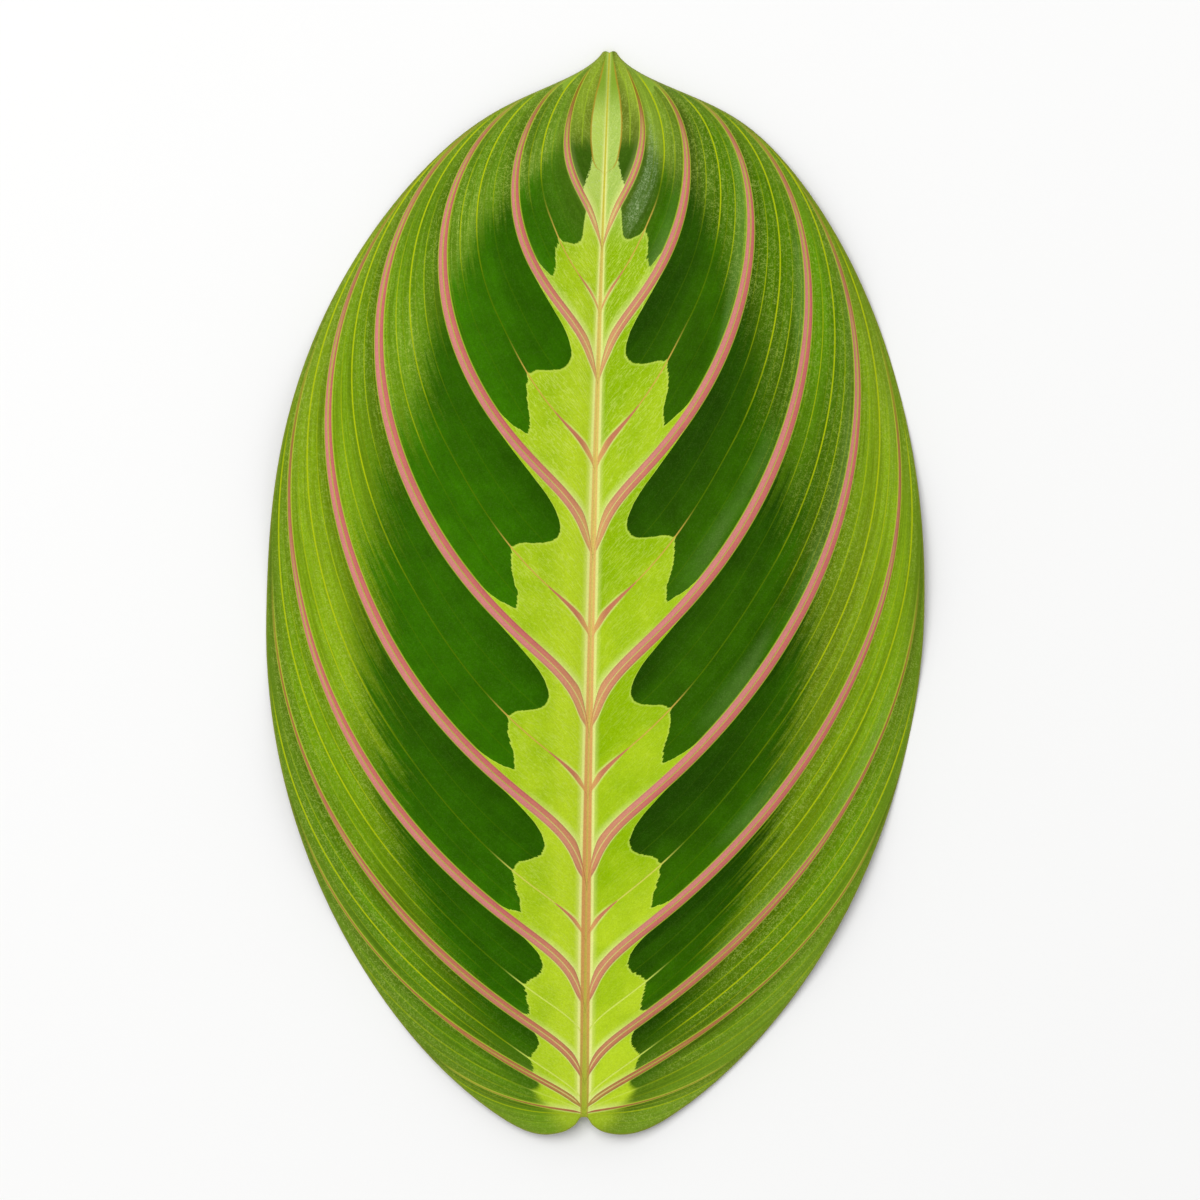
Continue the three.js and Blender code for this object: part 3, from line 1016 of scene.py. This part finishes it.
def mainVeinBorder(s, at, blade):
    look = mainVeins
    fadeAt, at.narrowAt = s.curve(at.number, look["fade"]), s.curve(at.number, look["narrow"])
    pair = s.fall(at.narrowAt * 0.28, at.narrowAt, at.share)
    at.wide = s.curve(at.number, look["width"]) * (0.2 + 0.8 * pair) * s.step(-0.3, 1.5, at.rib)
    at.strength = s.fall(fadeAt * 0.82, fadeAt, at.share) * s.band(at.number, *look["numbers"])
    at.far = s.maths("ABSOLUTE", at.offset)
    above = s.step(-0.05, 0.05, 0 - at.offset)
    byRib, byShare = look["nearRib"]
    at.nearRib = s.fall(*byRib, at.rib) * s.fall(*byShare, at.share)
    at.nearRib = at.nearRib * s.maths("MAXIMUM", at.inLime, 0.3)

    glow = s.fall(at.wide, at.wide + 0.25 + above * 0.6, at.far) * (0.35 + above * 0.3)
    blade = s.blend(glow * at.nearRib * at.strength, blade, look["glow"])
    halo = s.fall(at.wide + 0.02, at.wide + 0.14 + above * 0.06, at.far)
    haloTone = s.blend(at.nearRib, look["halo"], look["glow"])
    return s.blend(halo * at.strength * 0.85, blade, haloTone)


# The right-hand stripe of each pair is darker and redder: painted shade on the side
# of each raised vein away from the light. Both are tan near the midrib and
# brown towards the margin.
def mainVeinTone(s, at):
    look = mainVeins
    # painted shade: the right-hand stripe of each pair takes the darker red
    right = s.step(-0.08, 0.08, at.offset * at.half)
    stripe = s.blend(right * 0.85, look["pink"], look["red"])
    stripe = s.blend(at.nearRib * 0.8, stripe, look["tan"])
    joined = s.fall(*look["joinedReach"], at.rib) * s.step(*look["joinedStart"], at.y)
    stripe = s.blend(joined * 0.75, stripe, look["joined"])
    sooner = s.fall(1.0, 2.6, at.number) * 0.25
    along = s.step(0.6, 1.05, at.share / at.narrowAt + sooner)
    stripe = s.blend(along, stripe, look["brown"])
    stripe = s.blend(s.step(*look["baseNumbers"], at.number), stripe, look["baseBrown"])
    low = s.band(at.number, *look["lowNumbers"]) * s.fall(*look["lowJoinedReach"], at.rib)
    stripe = s.blend(low * 0.7, stripe, look["lowJoined"])
    stripe = s.scale(stripe, uneven(at.hairs, 0.28) * uneven(at.fuzz, 0.3))
    return s.scale(stripe, 1.04 - s.hump(at.far - at.wide * 0.85, 0.06, 0.06) * 0.14)


def mainVeinStripes(s, at, blade):
    look = mainVeins
    at.inStripe = s.fall(at.wide - 0.04, at.wide + 0.04, at.far) * at.strength
    blade = s.blend(at.inStripe, blade, mainVeinTone(s, at))
    line = s.curve(at.number, look["line"]) + s.step(0.35, 0.75, at.share) * 0.035
    at.centre = s.hump(at.offset, line, 0.045) * at.strength * s.step(0.2, 0.3, at.wide)
    centre = s.blend(at.nearRib, look["centre"], look["centreNear"])
    return s.blend(at.centre * 0.92, blade, centre)


# The thin ochre lines that bound the tip's pale strip.
tipStrip = {
    "line": [(44, 0.0), (47.6, 0.0), (49, 1.0), (50.5, 1.5), (53.4, 1.75), (56.4, 1.5),
             (59.2, 0.95), (61, 0.6), (62.5, 0.3)],
    "halfWidth": 0.08,
    "ends": ((47.8, 49.5), (60, 62)),
    "tone": (172, 138, 42),
    "outerLine": [(50, 2.7), (52.6, 2.75), (57.3, 2.35), (60.5, 1.2), (62.5, 0.4)],
    "outerHalfWidth": 0.06,
    "outerEnds": ((51, 52.5), (60, 61.5)),
    "outerTone": (150, 180, 40),
}


def tipStripLines(s, at, blade):
    look = tipStrip
    line = s.hump(at.rib - s.curve(at.y, look["line"]), look["halfWidth"], 0.06)
    line = line * s.band(at.y, *look["ends"])
    blade = s.blend(line * 0.8, blade, look["tone"])
    outer = s.hump(at.rib - s.curve(at.y, look["outerLine"]), look["outerHalfWidth"], 0.06)
    outer = outer * s.band(at.y, *look["outerEnds"]) * at.inTip
    return s.blend(outer * 0.7, blade, look["outerTone"])


# Painted sheen on the right half: a greyish highlight patch with whitish glints
# on its second panel, and greyish bands of sheen beside the veins below.
paintedSheen = {
    "patchPhases": ((1.1, 1.2), (1.36, 1.5)),
    "patchShare": ((0.08, 0.2), (0.45, 0.75)),
    "tone": (98, 128, 72),
    # whitish glints in the painted highlight patch
    "fleck": (188, 204, 160),
    "bandPhases": ((1.0, 1.5), (6.8, 7.2)),
    "bandPart": (0.7, 0.86),
    "bandStart": (0.1, 0.25),
    "band": (112, 146, 72),
}


def paintedSheenPatch(s, at, blade):
    look = paintedSheen
    right = 1 - at.isLeft
    # painted sheen in bands beside the veins
    beside = s.band(at.phase, *look["bandPhases"]) * s.step(*look["bandPart"], at.p)
    beside = beside * s.step(*look["bandStart"], at.share) * s.step(0.45, 0.62, at.blotch)
    beside = beside * right * (0.7 + at.wisps * 0.3)
    blade = s.blend(beside * 0.4, blade, look["band"])
    # painted highlight patch, with whitish glints over it
    patch = s.band(at.phase, *look["patchPhases"]) * s.band(at.share, *look["patchShare"])
    patch = patch * right * s.step(0.35, 0.6, at.broad * 0.5 + at.strands * 0.5)
    blade = s.blend(patch * 0.55, blade, look["tone"])
    return s.blend(patch * (at.flecks * 0.35 + at.wisps * 0.35), blade, look["fleck"])


upperFinish = {
    "margin": (140, 142, 48),
    "marginWidth": (0.04, 0.28),
    "roughness": 0.5,
    "specular": 0.08,
    "specularTint": (0.6, 1.0, 0.12, 1.0),
    "bumpHeight": 0.00007,  # metres
}


# What both faces share: an uneven roughness, low bumps and a weak shine.
def finishSurface(s, finish, blade, rough, height):
    inputs = s.shader.inputs
    s.plug(blade, inputs["Base Color"])
    s.plug(finish["roughness"] + rough, inputs["Roughness"])
    s.plug(s.bump(height, finish["bumpHeight"]), inputs["Normal"])
    inputs["Specular IOR Level"].default_value = finish["specular"]
    return s.material


def upperMaterial():
    s = Sheet("maranta upper face")
    at = leafMeasures(s)
    at.fromVein = fromSideVein(s, at)
    blade = outerTone(s, at)
    # each is painted over the ones before
    for paint in (darkPanels, paintedSheenPatch, limeMiddle, midribBorder, sideVeinLines, pinkTicks,
                  tipStripLines, mainVeinBorder, mainVeinStripes, midribStripes):
        blade = paint(s, at, blade)
    edgeLine = s.fall(*upperFinish["marginWidth"], at.edge)
    blade = s.blend(edgeLine * 0.55, blade, upperFinish["margin"])
    blade = s.scale(blade, uneven(at.grain, 0.32))

    s.shader.inputs["Specular Tint"].default_value = upperFinish["specularTint"]
    rough = (at.grain - 0.5) * 0.2 - at.inStripe * 0.06
    height = at.hairs * 0.4 + at.grain * 0.3 + at.inStripe * 0.7 - at.centre * 0.5
    height = height + at.fine * 0.3 - at.side * 0.4
    return finishSurface(s, upperFinish, blade, rough, height)


underFinish = {
    "green": (150, 168, 112),
    "wine": (118, 52, 78),
    "rib": (178, 190, 120),
    "ribWidth": (0.9, 1.4),
    "veinWidth": (0.3, 0.6),
    "sideVeinHalfWidth": 0.12,
    "strands": (22.0, 0.12, 3.0, 0.6),  # as in veinTextures
    "hairs": (75.0, 0.9, 2.0, 0.6),
    "roughness": 0.6,
    "specular": 0.3,
    "bumpHeight": 0.00008,
}


# Grey-green with a wine flush outside the middle, and pale raised veins.
def underMaterial():
    look = underFinish
    s = Sheet("maranta underside")
    phase, gap = s.attribute("veinPhase"), s.attribute("veinGap")
    rib, along = s.attribute("ribDistance"), s.attribute("alongVein")
    lean = s.attribute("leafHalf") * 5.1
    strands = veinTexture(s, phase, along, lean, look["strands"])
    hairs = veinTexture(s, phase, along, lean, look["hairs"])
    grain = s.noise(s.objectPlace(), *bladeTextures["grain"])
    reach = s.curve(phase, limeZone["bulge"])
    flush = s.step(reach * 0.6, reach * 1.6, rib) * s.step(0.25, 0.75, strands * 0.6 + 0.3)
    blade = s.blend(flush * 0.85, look["green"], look["wine"])
    far = s.maths("ABSOLUTE", (phase - s.maths("ROUND", phase)) * gap)
    vein = s.fall(*look["veinWidth"], far) * 0.75
    p = phase - s.maths("FLOOR", phase)
    sideVein = s.hump((p - 0.5) * gap, look["sideVeinHalfWidth"], 0.08) * 0.35
    raised = s.maths("MAXIMUM", vein, s.fall(*look["ribWidth"], rib))
    blade = s.blend(s.maths("MAXIMUM", raised, sideVein), blade, look["rib"])
    return finishSurface(s, look, blade, (grain - 0.5) * 0.2, hairs * 0.5 + grain * 0.4)


studio = {
    "floorSize": 3.0,
    "floorColour": (0.89, 0.89, 0.885, 1.0),
    "floorRoughness": 0.8,
    "floorSpecular": 0.1,
    "overhead": 0.35,  # world brightness straight up
    "horizon": 1.0,
    "lampPlace": (-0.32, 0.38, 1.2),
    "lampSize": 0.9,
    "lampWatts": 11.0,
    "pixels": 1200,
    "leafPixels": 1083,  # length of the leaf in the picture
    "leafMiddle": (595.0, 592.5),  # in the picture's pixels
    "leafPlane": 0.0012,  # height that the picture's scale is right at
    "lens": 220.0,
    "sensor": 36.0,
    "nearest": 0.01,
}


def makeFloor():
    bm = bmesh.new()
    bmesh.ops.create_grid(bm, x_segments=1, y_segments=1, size=studio["floorSize"] / 2)
    mesh = bpy.data.meshes.new("floor")
    bm.to_mesh(mesh)
    bm.free()
    floor = bpy.data.objects.new("floor", mesh)
    bpy.context.scene.collection.objects.link(floor)
    s = Sheet("pale floor")
    s.shader.inputs["Base Color"].default_value = studio["floorColour"]
    s.shader.inputs["Roughness"].default_value = studio["floorRoughness"]
    s.shader.inputs["Specular IOR Level"].default_value = studio["floorSpecular"]
    mesh.materials.append(s.material)
    print("floor done")


# A white sky that is dimmer overhead, and one large soft lamp.
def makeLight():
    world = bpy.data.worlds.new("studio")
    bpy.context.scene.world = world
    world.use_nodes = True
    nodes, links = world.node_tree.nodes, world.node_tree.links
    sky = nodes["Background"]
    ramp = nodes.new("ShaderNodeMapRange")
    ramp.inputs["To Min"].default_value = studio["horizon"]
    ramp.inputs["To Max"].default_value = studio["overhead"]
    parts = nodes.new("ShaderNodeSeparateXYZ")
    links.new(nodes.new("ShaderNodeTexCoord").outputs["Generated"], parts.inputs[0])
    links.new(parts.outputs["Z"], ramp.inputs["Value"])
    links.new(ramp.outputs["Result"], sky.inputs["Strength"])
    sky.inputs["Color"].default_value = (1.0, 1.0, 1.0, 1.0)

    lamp = bpy.data.lights.new("softbox", "AREA")
    lamp.size = studio["lampSize"]
    lamp.energy = studio["lampWatts"]
    box = bpy.data.objects.new("softbox", lamp)
    bpy.context.scene.collection.objects.link(box)
    box.location = studio["lampPlace"]
    box.rotation_euler = (-box.location).to_track_quat("-Z", "Y").to_euler()
    print("light done")


def makeCamera():
    lens, sensor = studio["lens"], studio["sensor"]
    perPixel = 2 * outline["halfLength"] * mm / studio["leafPixels"]
    middle = studio["pixels"] / 2
    camera = bpy.data.cameras.new("camera")
    camera.lens, camera.sensor_width = lens, sensor
    camera.clip_start = studio["nearest"]
    rig = bpy.data.objects.new("camera", camera)
    bpy.context.scene.collection.objects.link(rig)
    leafPlane = studio["leafPlane"]
    rig.location = (
        (middle - studio["leafMiddle"][0]) * perPixel,
        (studio["leafMiddle"][1] - middle) * perPixel,
        leafPlane + perPixel * studio["pixels"] * lens / sensor,
    )
    bpy.context.scene.camera = rig
    bpy.context.scene.view_settings.view_transform = "Standard"
    print("camera done")


leaf = makeLeaf()
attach(leaf, "root")
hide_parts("leaf")
makeFloor()
makeLight()
makeCamera()
